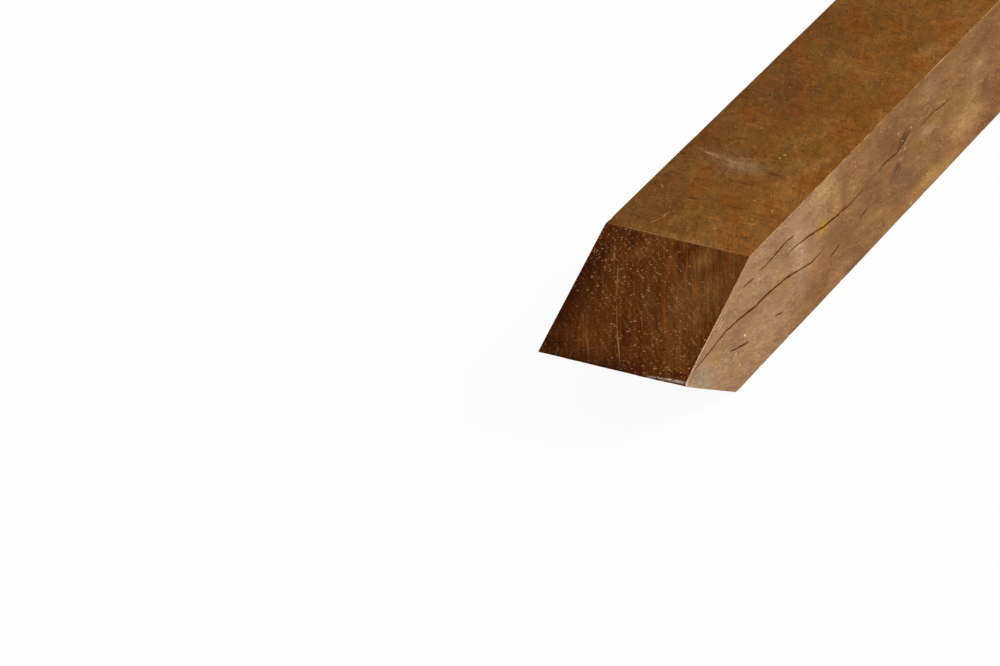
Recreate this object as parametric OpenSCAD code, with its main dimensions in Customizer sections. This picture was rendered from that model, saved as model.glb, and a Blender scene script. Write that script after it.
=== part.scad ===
// Hardwood ground post: one length of sawn stock with a chisel point and a square head.
// It lies on its bottom face. +Y runs from the tip to the head and +X is the side
// that has dried open. The origin is under the middle of the post, on the bottom face.

/* [Post] */
// Width of the sawn section
post_w = 70; // [55:1:120]
// Height of the sawn section
post_h = 68; // [55:1:120]
// Length from the tip to the head
post_len = 1000; // [600:10:3000]
// Radius worn on the four long arrises
arris_r = 0.6; // [0.3:0.1:4]

/* [Point] */
// Length of the point along the post
point_len = 75; // [50:1:140]
// Thickness of wood left at the tip, where the two cuts meet
tip_land = 0.8; // [0.4:0.1:3]
// Radius worn on the lower shoulder, where the under cut leaves the bottom face
shoulder_r = 12; // [3:0.5:20]

/* [Drying checks] */
// Opening of a main check at the face
check_gap = 0.8; // [0.4:0.1:1.6]
// Depth of a main check at its middle
check_depth = 9; // [3:0.5:16]
// Opening of a fine check at the face
hairline_gap = 0.5; // [0.2:0.1:1]
// Depth of a fine check at its middle
hairline_depth = 3; // [1:0.5:8]
// Opening of the splits at the tip
split_gap = 0.5; // [0.2:0.1:1]

/* [Hidden] */
$fn = 120;

wood_colour = "#8a5e38";

// How far a cutting shape runs on past the surface that it cuts
over = 2;
// How far past the end of a check its floor would reach the face
floor_runout = 2;

mid_z = post_h / 2;
face_x = post_w / 2;
tip_y = -post_len / 2;

// Rise of each cut across the point, and its angle to the post
cut_rise = (post_h - tip_land) / 2;
cut_slope = cut_rise / point_len;
cut_angle = atan(cut_slope);

// Routes of the main checks on the +X face, as [distance from the tip, height above mid-height]
main_checks = [
    [[9, 2], [22, 2.5], [34, 4], [51, 5.5], [69, 5], [84, 3], [101, 2.5], [118, 2],
     [133, 0.5], [152, -3], [166, -5.5], [184, -5]],
    [[131, 13.5], [144, 12.5], [159, 11], [179, 8], [199, 6], [219, 5], [238, 6]]
];

// Routes of the fine checks, written in the same way
fine_checks = [
    [[70, 20.5], [77, 20], [85, 19.5]],
    [[89, 20], [97, 19.5], [107, 19.5], [124, 20.5], [140, 20]],
    [[246, 7], [258, 8], [271, 7.5], [284, 6]],
    [[311, 7], [325, 8.5], [338, 8], [351, 6.5], [362, 6]],
    [[59, -7.5], [71, -10], [87, -13]],
    [[121, -14], [126, -15.5], [132, -16.5]],
    [[193, -13.5], [201, -13], [209, -11.5]],
    [[233, -9], [239, -8.5], [246, -8]]
];

// Splits that open at the tip edge, as [distance in from the +X face, distance from the tip]
tip_splits = [
    [[46.5, -1], [45, 1.5], [42, 5.5]],
    [[7.5, -0.5], [5.5, 1.5], [-1, 6.5]]
];

// Half of the opening at a fraction t of the way along a check, nothing at either end
function half_gap(gap, t) = gap / 2 * sin(180 * t);

// How far along its route point i lies, as a fraction of the run in the first coordinate
function along(route, i) = (route[i][0] - route[0][0]) / (route[len(route) - 1][0] - route[0][0]);

// Closed outline of a sliver that tapers to both ends of its route
function sliver(route, gap) = concat(
    [for (i = [0 : len(route) - 1]) route[i] + [0, half_gap(gap, along(route, i))]],
    [for (i = [len(route) - 2 : -1 : 1]) route[i] - [0, half_gap(gap, along(route, i))]]
);

// Closed outline of a split that is widest at its first point and closes at its last
function cleft(route, gap) = concat(
    [for (i = [0 : len(route) - 1]) route[i] - [gap / 2 * (1 - along(route, i)), 0]],
    [for (i = [len(route) - 2 : -1 : 0]) route[i] + [gap / 2 * (1 - along(route, i)), 0]]
);

// Sawn section with its arrises worn round, drawn from mid-height
module section() {
    square([post_w - 2 * arris_r, post_h], center = true);
    square([post_w, post_h - 2 * arris_r], center = true);
    for (sx = [-1, 1], sy = [-1, 1])
        translate([sx * (face_x - arris_r), sy * (mid_z - arris_r)]) circle(r = arris_r);
}

module blank() {
    translate([0, 0, mid_z]) rotate([90, 0, 0])
        linear_extrude(height = post_len, center = true) section();
}

// Puts a side view, drawn from the tip and mid-height, into place and carries it across the post
module across() {
    translate([0, tip_y, mid_z]) rotate([90, 0, 90])
        linear_extrude(height = post_w + 2 * over, center = true) children();
}

// Side view of the wood above the point's upper cut
module waste_side() {
    start_y = -over;
    end_y = point_len + over;
    start_z = tip_land / 2 + start_y * cut_slope;
    end_z = tip_land / 2 + end_y * cut_slope;
    polygon([[start_y, start_z], [end_y, end_z], [start_y, end_z]]);
}

// Side view of the corner lost on the lower shoulder: what lies outside a circle that
// touches the bottom face and the under cut
module shoulder_side() {
    reach = shoulder_r * tan(cut_angle / 2);
    centre = [point_len + reach, shoulder_r - mid_z];
    difference() {
        polygon([
            centre,
            [point_len + reach, -mid_z],
            [point_len, -mid_z] + over * [-sin(cut_angle / 2), -cos(cut_angle / 2)],
            [point_len - reach * cos(cut_angle), reach * sin(cut_angle) - mid_z]
        ]);
        translate(centre) circle(r = shoulder_r);
    }
}

// A check is a thin sliver. Its floor is an arc that comes up to the face just past both ends.
module check(route, gap, depth) {
    first_y = route[0][0];
    last_y = route[len(route) - 1][0];
    half_run = (last_y - first_y) / 2 + floor_runout;
    floor_r = (half_run * half_run + depth * depth) / (2 * depth);
    intersection() {
        translate([face_x - depth - over, tip_y, mid_z]) rotate([90, 0, 90])
            linear_extrude(height = depth + 2 * over) polygon(sliver(route, gap));
        translate([face_x - depth + floor_r, tip_y + (first_y + last_y) / 2, 0])
            cylinder(h = post_h, r = floor_r);
    }
}

// A split is cut from above, down to the middle of the tip
module tip_split(route) {
    translate([face_x, tip_y, mid_z]) mirror([1, 0, 0])
        linear_extrude(height = mid_z) polygon(cleft(route, split_gap));
}

module post() {
    color(wood_colour) difference() {
        blank();
        across() waste_side();
        across() mirror([0, 1]) waste_side();
        across() shoulder_side();
        for (route = main_checks) check(route, check_gap, check_depth);
        for (route = fine_checks) check(route, hairline_gap, hairline_depth);
        for (route = tip_splits) tip_split(route);
    }
}

post();
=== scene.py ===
import math

import bpy
import numpy as np
from mathutils import Matrix, Vector


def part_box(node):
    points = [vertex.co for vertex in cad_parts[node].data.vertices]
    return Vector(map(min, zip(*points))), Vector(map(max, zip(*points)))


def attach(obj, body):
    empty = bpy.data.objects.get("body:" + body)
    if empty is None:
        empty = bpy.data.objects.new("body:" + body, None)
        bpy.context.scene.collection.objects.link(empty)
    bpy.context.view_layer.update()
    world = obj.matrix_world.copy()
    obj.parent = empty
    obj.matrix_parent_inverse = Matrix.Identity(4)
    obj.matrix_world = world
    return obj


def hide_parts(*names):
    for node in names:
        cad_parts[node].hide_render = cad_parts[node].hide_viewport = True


# Hardwood ground post. Lengths in the dictionaries are millimetres unless a note says otherwise.
# t is the distance from the tip along the post, x runs across it and h is the height above its middle.

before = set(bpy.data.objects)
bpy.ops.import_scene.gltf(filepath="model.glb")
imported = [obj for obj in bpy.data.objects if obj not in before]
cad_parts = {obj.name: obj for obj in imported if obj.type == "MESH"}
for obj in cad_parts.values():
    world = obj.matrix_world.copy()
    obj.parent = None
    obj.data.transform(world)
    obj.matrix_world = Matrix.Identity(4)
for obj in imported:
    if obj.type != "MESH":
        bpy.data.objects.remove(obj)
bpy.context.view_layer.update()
postLow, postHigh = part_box("post")
postWidth, postLength, postHeight = [(b - a) * 1000 for a, b in zip(postLow, postHigh)]
print("frame loaded: post of", *[round(v, 1) for v in (postWidth, postHeight, postLength)], "mm")


def valueNoise(u, v, cellU, cellV, seed):
    # Random heights from -1 to 1 on a lattice, blended inside each cell by 3f^2 - 2f^3 along u and along v
    side = 251
    lattice = np.random.default_rng(seed).uniform(-1, 1, (side, side))
    u, v = np.broadcast_arrays(np.asarray(u, float) / cellU, np.asarray(v, float) / cellV)
    i, j = np.floor(u).astype(int), np.floor(v).astype(int)
    fu, fv = u - i, v - j
    fu, fv = fu * fu * (3 - 2 * fu), fv * fv * (3 - 2 * fv)
    low = lattice[i % side, j % side] * (1 - fu) + lattice[(i + 1) % side, j % side] * fu
    high = lattice[i % side, (j + 1) % side] * (1 - fu) + lattice[(i + 1) % side, (j + 1) % side] * fu
    return low * (1 - fv) + high * fv


def smoothStep(low, high, value):
    # 0 below low, 1 above high and 3f^2 - 2f^3 between them
    f = np.clip((np.asarray(value, float) - low) / (high - low), 0, 1)
    return f * f * (3 - 2 * f)


def newObject(name, data):
    made = bpy.data.objects.new(name, data)
    bpy.context.scene.collection.objects.link(made)
    return made


def makePiece(name, points, quads, slots=None, crisp=None, attributes=None):
    # Mesh from whole arrays: points as rows of x, t and h in millimetres, quads as rows of four point
    # numbers that run anticlockwise seen from outside
    place = (points + [0, postLow[1] * 1000, postLow[2] * 1000 + postHeight / 2]) / 1000
    mesh = bpy.data.meshes.new(name)
    mesh.vertices.add(len(place))
    mesh.vertices.foreach_set("co", place.astype(np.float32).ravel())
    mesh.loops.add(quads.size)
    mesh.loops.foreach_set("vertex_index", quads.astype(np.int32).ravel())
    mesh.polygons.add(len(quads))
    mesh.polygons.foreach_set("loop_start", np.arange(0, quads.size, 4, dtype=np.int32))
    smooth = np.ones(len(quads), bool) if crisp is None else ~crisp
    mesh.polygons.foreach_set("use_smooth", smooth)
    if slots is not None:
        mesh.polygons.foreach_set("material_index", slots.astype(np.int32))
    mesh.update(calc_edges=True)
    for key, values in (attributes or {}).items():
        data = mesh.attributes.new(key, "FLOAT", "POINT").data
        data.foreach_set("value", values.astype(np.float32).ravel())
    return newObject(name, mesh)


# The post's skin

form = {
    "pointLength": 75.0,            # tip to shoulder
    "tipLand": 0.8,                 # thickness left at the tip
    "arrisRadius": 0.45,
    "cutEdgeRadius": 0.15,          # along the freshly sawn edges of the point
    "topShoulderRadius": 0.5,
    "lowShoulderRadius": 12.0,
    "headRadius": 0.6,
    "ringSteps": ((0, 0.5), (6, 0.9), (92, 1.0), (120, 1.45), (300, 1.6), (440, 2.4), (520, 5.0),
                  (1000, 6.0)),     # (distance from the tip, spacing of the rings there)
    "ringGap": 0.35,                # least room between the added rings and the others
    "shoulderRings": (-2.5, -1.6, -0.8, -0.25, 0, 0.25, 0.8, 1.6, 2.5),     # more of them at the shoulder
    "cornerSteps": 2,               # quads on each side of an arris's middle
    "edgeRow": 0.4,                 # width of the row of quads next to an arris
    "closedTrack": 0.08,            # half the width of a track where no check is open
    "checkRim": 0.5,                # width of the rim of painted shade on each side of a check
    "narrowFace": 16.0,             # where a face is narrower, its tracks get narrower with it
    "ownRoutes": (50, 58),          # where the tracks of the checked side turn to their own routes
    "wornFrom": (72.5, 76),         # where the edges turn from freshly sawn to worn
    "reliefFrom": (74.2, 75.2),     # where the marks of the cut turn to those of the face
    "crispDepth": 0.15,             # faces of a check that reach deeper than this are shaded flat
    "sideRows": (7, 6, 5, 6, 7),    # quads between the tracks of the checked side, from the bottom up
    "topColumns": (3, 20, 14),      # quads between the tracks of the top, from the checked side
}
cutRise = (postHeight - form["tipLand"]) / 2        # height that each cut of the point takes off
cutAngle = math.atan(cutRise / form["pointLength"])

# Tracks are rows of the mesh that follow the checks. A route holds (t, h) points and each check on it
# says where it starts and ends, how wide it opens and how deep it goes.
checkTracks = [
    {"route": [(59, -7.5), (71, -10), (87, -13), (121, -14), (126, -15.5), (132, -16.5), (165, -17),
               (193, -13.5), (201, -13), (209, -11.5), (240, -21)],
     "checks": [(59, 87, 0.55, 3), (121, 132, 0.3, 2), (193, 209, 0.5, 2)]},
    {"route": [(0, 0), (9, 2.8), (22, 3.4), (34, 4.8), (51, 6), (69, 5.3), (84, 3.5), (101, 2.7), (118, 2.2),
               (133, 0.7), (152, -2.8), (166, -5.3), (184, -4.8), (210, -7.5), (233, -9), (239, -8.5),
               (246, -8)],
     "checks": [(6, 184, 0.92, 9), (233, 246, 0.4, 3)]},
    {"route": [(131, 13.8), (144, 12.8), (159, 11.2), (179, 8.2), (199, 6.2), (219, 5.2), (238, 6.1),
               (246, 6.8), (258, 7.8), (271, 7.3), (284, 6), (311, 7.1), (325, 8.5), (338, 8), (351, 6.5),
               (362, 6)],
     "checks": [(131, 238, 0.72, 9), (254, 284, 0.7, 3), (311, 362, 0.45, 3)]},
    {"route": [(70, 20.5), (77, 20), (85, 19.7), (89, 20.5), (97, 20), (107, 20.1), (124, 21), (140, 20.4)],
     "checks": [(70, 85, 0.6, 3), (89, 140, 0.65, 3)]},
]

# Splits that open at the tip edge, written the same way with (t, x) points, from the checked side
splitTracks = [
    {"route": [(0, 28), (1.5, 29.5), (5, 33.4), (15, 31.8)], "checks": [(-5, 5.5, 0.55, 2)]},
    {"route": [(0, -11), (1.5, -10), (5.5, -7), (20, -8)], "checks": [(-6, 6, 0.5, 2)]},
]

relief = {
    "sawPitch": 4.2, "sawSlant": 0.25, "sawDepth": 0.04,    # marks across the sawn faces
    "waveLength": 45, "waveDepth": 0.05,                    # slow unevenness of a sawn face
    "fuzzSize": 3.5, "fuzzDepth": 0.03,                     # raised fibres
    "cutDepth": 0.03, "cutPitch": 2.6,                      # marks on the two cuts of the point
    "arcCentre": (190, 150),                                # middle of their arcs, as (t, x)
    "calmHead": 8,                                          # length over which all of these fade to the head
    "knockCount": 14, "knockRadius": 0.5, "knockLength": 1.8,   # small knocks along each arris
    "tipWear": 0.6, "tipWearFrom": (14, 24),                # torn off the tip edge, most of it past this x
    "cornerWear": 1.7, "cornerWearFrom": (22, 35),          # and off its corner on the checked side
    "tornLength": 7,                                        # how far from the tip that goes
}


def ringPlaces():
    # Distances of the rings from the tip: the spacing changes evenly between the steps given, and the
    # shoulders and the head's edge get lines of their own
    steps = np.array(form["ringSteps"], float)
    fine = np.linspace(0, postLength, 20001)
    passed = np.concatenate([[0], np.cumsum(np.diff(fine) / np.interp(fine[1:], steps[:, 0], steps[:, 1]))])
    t = np.interp(np.linspace(0, passed[-1], int(passed[-1])), passed, fine)
    head = postLength - form["headRadius"] * np.array([1, 0.5, 0.15])
    own = np.concatenate([form["pointLength"] + np.array(form["shoulderRings"]), head])
    clear = np.abs(t[:, None] - own[None, :]).min(1) > form["ringGap"]
    clear[[0, -1]] = True
    return np.sort(np.concatenate([t[clear], own]))


def halfHeight(t, radius):
    # Half the thickness of the wood at t: the line of the cut, then the face, joined by an arc that
    # touches both and whose centre lies inward of the face by its radius
    reach = radius * math.tan(cutAngle / 2)
    centre = form["pointLength"] + reach
    line = form["tipLand"] / 2 + t * cutRise / form["pointLength"]
    arc = postHeight / 2 - radius + np.sqrt(np.maximum(radius**2 - (t - centre) ** 2, 0))
    arcStart = form["pointLength"] - reach * math.cos(cutAngle)
    return np.where(t < arcStart, line, np.where(t < centre, arc, postHeight / 2))


def arrisRadii(t, thickness, seed):
    # Radius of one long edge: small along the point, worn behind it, where slow noise and a bell curve
    # for each knock are added
    places = np.random.default_rng(seed)
    knocks = places.uniform(form["pointLength"] + 5, postLength, relief["knockCount"])
    sizes = places.uniform(0.2, 1, relief["knockCount"])
    slow, quick = valueNoise(t, 0, 34, 1, seed), valueNoise(t, 0, 6, 1, seed + 1)
    worn = form["arrisRadius"] * (0.8 + 0.2 * slow + 0.1 * quick)
    bells = np.exp(-((t[:, None] - knocks) / relief["knockLength"]) ** 2)
    worn += relief["knockRadius"] * (sizes * bells).sum(1)
    radius = form["cutEdgeRadius"] + (worn - form["cutEdgeRadius"]) * smoothStep(*form["wornFrom"], t)
    return np.minimum(radius, 0.45 * thickness)


def spreadRows(knots, counts):
    # Rows evenly spaced between each pair of neighbouring knots, each row an array along the post
    parts = [a + (b - a) * (np.arange(n) / n)[:, None] for a, b, n in zip(knots[:-1], knots[1:], counts)]
    return np.concatenate(parts + [knots[-1][None, :]])


def openings(checks, t, seed):
    # Half width and depth of a track at t. A check's width is a power of a sine over its length, made
    # uneven by noise, and its depth is a parabola. Both are nothing at its ends.
    half, depth = np.full_like(t, form["closedTrack"]), np.zeros_like(t)
    uneven = 1 + 0.3 * valueNoise(t, 0, 7, 1, seed) + 0.2 * valueNoise(t, 0, 2.4, 1, seed + 1)
    for first, last, gap, deep in checks:
        f = np.clip((t - first) / (last - first), 0, 1)
        half = np.maximum(half, gap / 2 * np.sin(np.pi * f) ** 0.6 * uneven)
        depth = np.maximum(depth, deep * 4 * f * (1 - f))
    return half, depth


def flatRows(t, low, high, centres, tracks, counts, seed):
    # Rows of one flat face between its two arrises, with five rows for each track: one outside each rim,
    # the two rims and the floor. Returns the place, the depth and the shade of every row.
    room = high - low
    out = np.sign(room) * np.minimum(1, np.abs(room) / form["narrowFace"])
    edge = np.sign(room) * np.minimum(form["edgeRow"], 0.1 * np.abs(room))
    zero = np.zeros_like(t)
    knots, depths, shades, steps = [low, low + edge], [zero, zero], [zero, zero], [1]
    for n, (centre, track) in enumerate(zip(centres, tracks)):
        half, depth = openings(track["checks"], t, seed + 2 * n)
        opened = smoothStep(0.05, 1.2, depth)
        rim = half + form["checkRim"]
        knots += [centre - out * rim, centre - out * half, centre, centre + out * half, centre + out * rim]
        depths += [zero, zero, depth, zero, zero]
        shades += [zero, 0.95 * opened, opened, 0.95 * opened, zero]
        steps += [counts[n], 1, 1, 1, 1]
    knots += [high - edge, high]
    depths += [zero, zero]
    shades += [zero, zero]
    steps += [counts[-1], 1]
    return spreadRows(knots, steps), spreadRows(depths, steps), spreadRows(shades, steps)


def checkCentres(t, low, high):
    # Heights of the four tracks of the checked side. Within the point, where only the main check
    # reaches, the other tracks share out the room above and below it.
    centres = []
    for n, track in enumerate(checkTracks):
        route = np.array(track["route"], float)
        wander = 0.2 * valueNoise(t, 0, 3.3, 1, 71 + n) + 0.25 * valueNoise(t, 0, 9, 1, 81 + n)
        centres.append(np.interp(t, route[:, 0], route[:, 1]) + wander * smoothStep(10, 22, t))
    main = centres[1]
    shared = [main - 0.5 * (main - low), main, main + 0.35 * (high - main), main + 0.7 * (high - main)]
    own = smoothStep(*form["ownRoutes"], t)
    return [s + (c - s) * own for s, c in zip(shared, centres)]


def splitCentres(t):
    # Places across the top of the two tracks that follow the splits
    centres = []
    for n, track in enumerate(splitTracks):
        route = np.array(track["route"], float)
        centres.append(np.interp(t, route[:, 0], route[:, 1]) + 0.08 * valueNoise(t, 0, 1.3, 1, 61 + n))
    return centres


def sawnRelief(t, across, seed):
    # Depth below a sawn face: ridges across it that lean by a slant, slow waves and fuzz, never above 0
    lean = t - relief["sawSlant"] * across + 2.5 * valueNoise(t, across, 60, 30, seed + 5)
    ridges = relief["sawDepth"] * (1 + valueNoise(lean, across, relief["sawPitch"], 55, seed))
    waves = relief["waveDepth"] * (1 + valueNoise(t, across, relief["waveLength"], 22, seed + 1))
    fuzz = relief["fuzzDepth"] * (1 + valueNoise(t, across, relief["fuzzSize"], 2.2, seed + 2))
    return (ridges + waves + fuzz) / 2


def cutRelief(t, across, seed):
    # Depth below a cut of the point: shallow arcs left by the saw, drawn round a far centre, and noise
    arc = np.hypot(t - relief["arcCentre"][0], across - relief["arcCentre"][1])
    marks = 1 + 0.6 * valueNoise(arc, across, relief["cutPitch"], 70, seed)
    return relief["cutDepth"] * (marks + 0.4 * valueNoise(t, across, 9, 7, seed + 1))


def endPatch(last, sideCount, topCount):
    # Grid over one end whose points blend the four sides of its ring: each place is the mean of the
    # straight lines between opposite sides, less the same blend of the four corners
    size = len(last)
    r, c = np.arange(sideCount + 1), np.arange(topCount + 1)
    edges = [r, 2 * sideCount + topCount - r, sideCount + c, (2 * sideCount + 2 * topCount - c) % size]
    right, left, over, below = [last[e] for e in edges]
    v, u = (r / sideCount)[:, None, None], (c / topCount)[None, :, None]
    patch = (1 - v) * below[None] + v * over[None] + (1 - u) * right[:, None] + u * left[:, None]
    patch -= (1 - v) * ((1 - u) * right[0] + u * left[0]) + v * ((1 - u) * right[-1] + u * left[-1])
    return patch[1:-1, 1:-1], edges


def tornBack(x, t):
    # Distance that the wood near the tip is torn back: noise, more of it towards the checked side, times
    # the square of what is left of the torn length
    uneven, even = 0.5 + 0.5 * valueNoise(x, 0, 1.6, 1, 57), 0.85 + 0.15 * valueNoise(x, 0, 2.2, 1, 58)
    general = relief["tipWear"] * (0.35 + 0.65 * smoothStep(*relief["tipWearFrom"], x)) * uneven
    corner = relief["cornerWear"] * smoothStep(*relief["cornerWearFrom"], x) * even
    return (general + corner) * np.clip(1 - t / relief["tornLength"], 0, 1) ** 2


def postSkin():
    # One closed skin. Each ring is a rounded rectangle that the two cuts make thinner towards the tip.
    # Its points start at the middle of the lower arris of the checked side and go up, over the top, down
    # the plain side and back along the bottom.
    t, steps = ringPlaces(), form["cornerSteps"]
    headEdge = form["headRadius"]
    past = np.maximum(t - postLength + headEdge, 0)
    edge = headEdge - np.sqrt(np.maximum(headEdge**2 - past**2, 0))
    b = postWidth / 2 - edge
    top = halfHeight(t, form["topShoulderRadius"]) - edge
    low = halfHeight(t, form["lowShoulderRadius"]) - edge
    lowRight, topRight, topLeft, lowLeft = [arrisRadii(t, top + low, 11 + 7 * n) for n in range(4)]

    sideLow, sideHigh = -low + lowRight, top - topRight
    rows, sideDeep, sideShade = flatRows(t, sideLow, sideHigh, checkCentres(t, sideLow, sideHigh),
                                         checkTracks, form["sideRows"], 91)
    columns, topDeep, topShade = flatRows(t, b - topRight, -b + topLeft, splitCentres(t),
                                          splitTracks, form["topColumns"], 65)
    topDeep = np.minimum(topDeep, 0.8 * top)
    plainHigh, plainLow = top - topLeft, -low + lowLeft
    inset = np.minimum(form["edgeRow"], 0.1 * (plainHigh - plainLow))
    plain = spreadRows([plainHigh, plainHigh - inset, plainLow + inset, plainLow], [1, len(rows) - 3, 1])
    inset = form["edgeRow"]
    under = spreadRows([-b + lowLeft, -b + lowLeft + inset, b - lowRight - inset, b - lowRight],
                       [1, len(columns) - 3, 1])

    def turned(angles, radius, signX, signH):
        # Points of an arris: the arc's centre plus its radius times the cosine and the sine of each angle
        x = signX * (b - radius + radius * np.cos(angles))
        centre = top - radius if signH > 0 else radius - low
        return x, centre + signH * radius * np.sin(angles), angles + 0 * t

    def level(x, h, angle):
        # Points of a flat face, all with the normal of one angle
        x, h = np.broadcast_arrays(x, h)
        return x, h, np.full(x.shape, angle)

    quarter = np.pi / 2
    arc = np.radians(np.linspace(45, 0, steps + 1))[:-1, None]      # from an arris's middle to the side
    arcUp = quarter - arc                                           # and to the top or the bottom
    parts = [
        (1, -1, turned(arc, lowRight, 1, -1)), (1, 1, level(b, rows, 0)),
        (1, 1, turned(arc[::-1], topRight, 1, 1)),
        (1, 1, turned(arcUp[1:], topRight, 1, 1)), (1, 1, level(columns, top, quarter)),
        (-1, 1, turned(arcUp[::-1], topLeft, -1, 1)),
        (-1, 1, turned(arc[1:], topLeft, -1, 1)), (-1, 1, level(-b, plain, 0)),
        (-1, -1, turned(arc[::-1], lowLeft, -1, -1)),
        (-1, -1, turned(arcUp[1:], lowLeft, -1, -1)), (-1, -1, level(under, -low, quarter)),
        (1, -1, turned(arcUp[::-1][:-1], lowRight, 1, -1)),
    ]
    counts = [len(part[2][0]) for part in parts]
    kinds = np.repeat(np.arange(len(parts)), counts)
    signX, signH = [np.repeat([part[n] for part in parts], counts) for n in range(2)]
    x, h, angle = [np.concatenate([part[2][n] for part in parts]).T for n in range(3)]
    deep, shade = np.zeros_like(x), np.zeros_like(x)
    deep[:, kinds == 1], shade[:, kinds == 1] = sideDeep.T, sideShade.T
    deep[:, kinds == 4], shade[:, kinds == 4] = topDeep.T, topShade.T

    # relief, pushed inward along the normal of each point
    along = t[:, None] + np.zeros_like(x)
    onSide = np.where(signX > 0, sawnRelief(along, h, 21), sawnRelief(along, h, 31))
    onTop = np.where(signH > 0, sawnRelief(along, x, 41), sawnRelief(along, x, 51))
    onCut = np.where(signH > 0, cutRelief(along, x, 43), cutRelief(along, x, 53))
    onTop = onCut + (onTop - onCut) * smoothStep(*form["reliefFrom"], along)
    calm = smoothStep(0, relief["calmHead"], postLength - along)
    x = x - np.cos(angle) * signX * (onSide * calm + deep)
    h = h - np.sin(angle) * signH * (onTop * calm + deep)

    points = np.stack([x, along + tornBack(x, along), h], 2)

    # quads between neighbouring rings, then a patch over each end
    sideCount, topCount = sum(counts[:3]) - 1, sum(counts[3:6])
    size = x.shape[1]
    ring, k = np.meshgrid(np.arange(len(t) - 1), np.arange(size), indexing="ij")
    start, following = ring * size, (k + 1) % size
    quads = np.stack([start + k, start + size + k, start + size + following, start + following], 2)
    quads = quads.reshape(-1, 4)
    flat = ((k >= sideCount) & (k < sideCount + topCount)) | (k >= 2 * sideCount + topCount)
    inPoint = (t[1:] + t[:-1])[ring] / 2 < form["pointLength"]
    slots = np.where(flat, np.where(inPoint, 2, 0), 1).ravel()
    crisp = deep.ravel()[quads].max(1) > form["crispDepth"]
    allPoints, allQuads, allSlots = [points.reshape(-1, 3)], [quads], [slots]
    count = points.size // 3
    for ringNumber, slot in ((0, 2), (len(t) - 1, 3)):
        patch, edges = endPatch(points[ringNumber], sideCount, topCount)
        right, left, over, below = [ringNumber * size + e for e in edges]
        grid = np.empty((sideCount + 1, topCount + 1), int)
        grid[1:-1, 1:-1] = count + np.arange(patch.size // 3).reshape(patch.shape[:2])
        grid[:, 0], grid[:, -1], grid[-1, :], grid[0, :] = right, left, over, below
        faces = np.stack([grid[:-1, :-1], grid[1:, :-1], grid[1:, 1:], grid[:-1, 1:]], 2).reshape(-1, 4)
        allPoints.append(patch.reshape(-1, 3))
        allQuads.append(faces if ringNumber == 0 else faces[:, ::-1])
        allSlots.append(np.full(len(faces), slot))
        count += patch.size // 3
    extra = count - points.size // 3
    wear = np.clip(np.sin(2 * angle), 0, 1) ** 2
    attributes = {key: np.pad(values.ravel(), (0, extra))
                  for key, values in (("checkShade", shade), ("arrisWear", wear))}
    allPoints, allQuads, allSlots = [np.concatenate(parts) for parts in (allPoints, allQuads, allSlots)]
    crisp = np.pad(crisp, (0, len(allSlots) - len(crisp)))
    return makePiece("postWood", allPoints, allQuads, allSlots, crisp, attributes)


postWood = postSkin()
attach(postWood, "root")
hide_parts("post")
print("skin made:", len(postWood.data.polygons) * 2, "triangles")


# Torn fibres at the tip and along the edge of the upper cut

fibres = {
    "tipCount": 80, "tipLength": (0.4, 1.2), "tipWidth": 0.26,
    "tipX": (17, 34.2), "tipT": (0.6, 1.5),         # where they start, most of them near the second x
    "edgeCount": 9, "edgeLength": (0.8, 2.0), "edgeWidth": 0.16,
    "edgeX": (33.9, 34.6), "edgeT": (33, 52),
    "xLimits": (-34.9, 34.95), "tLimit": 0.02,      # none of them reaches past these
    "seed": 5,
}


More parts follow.
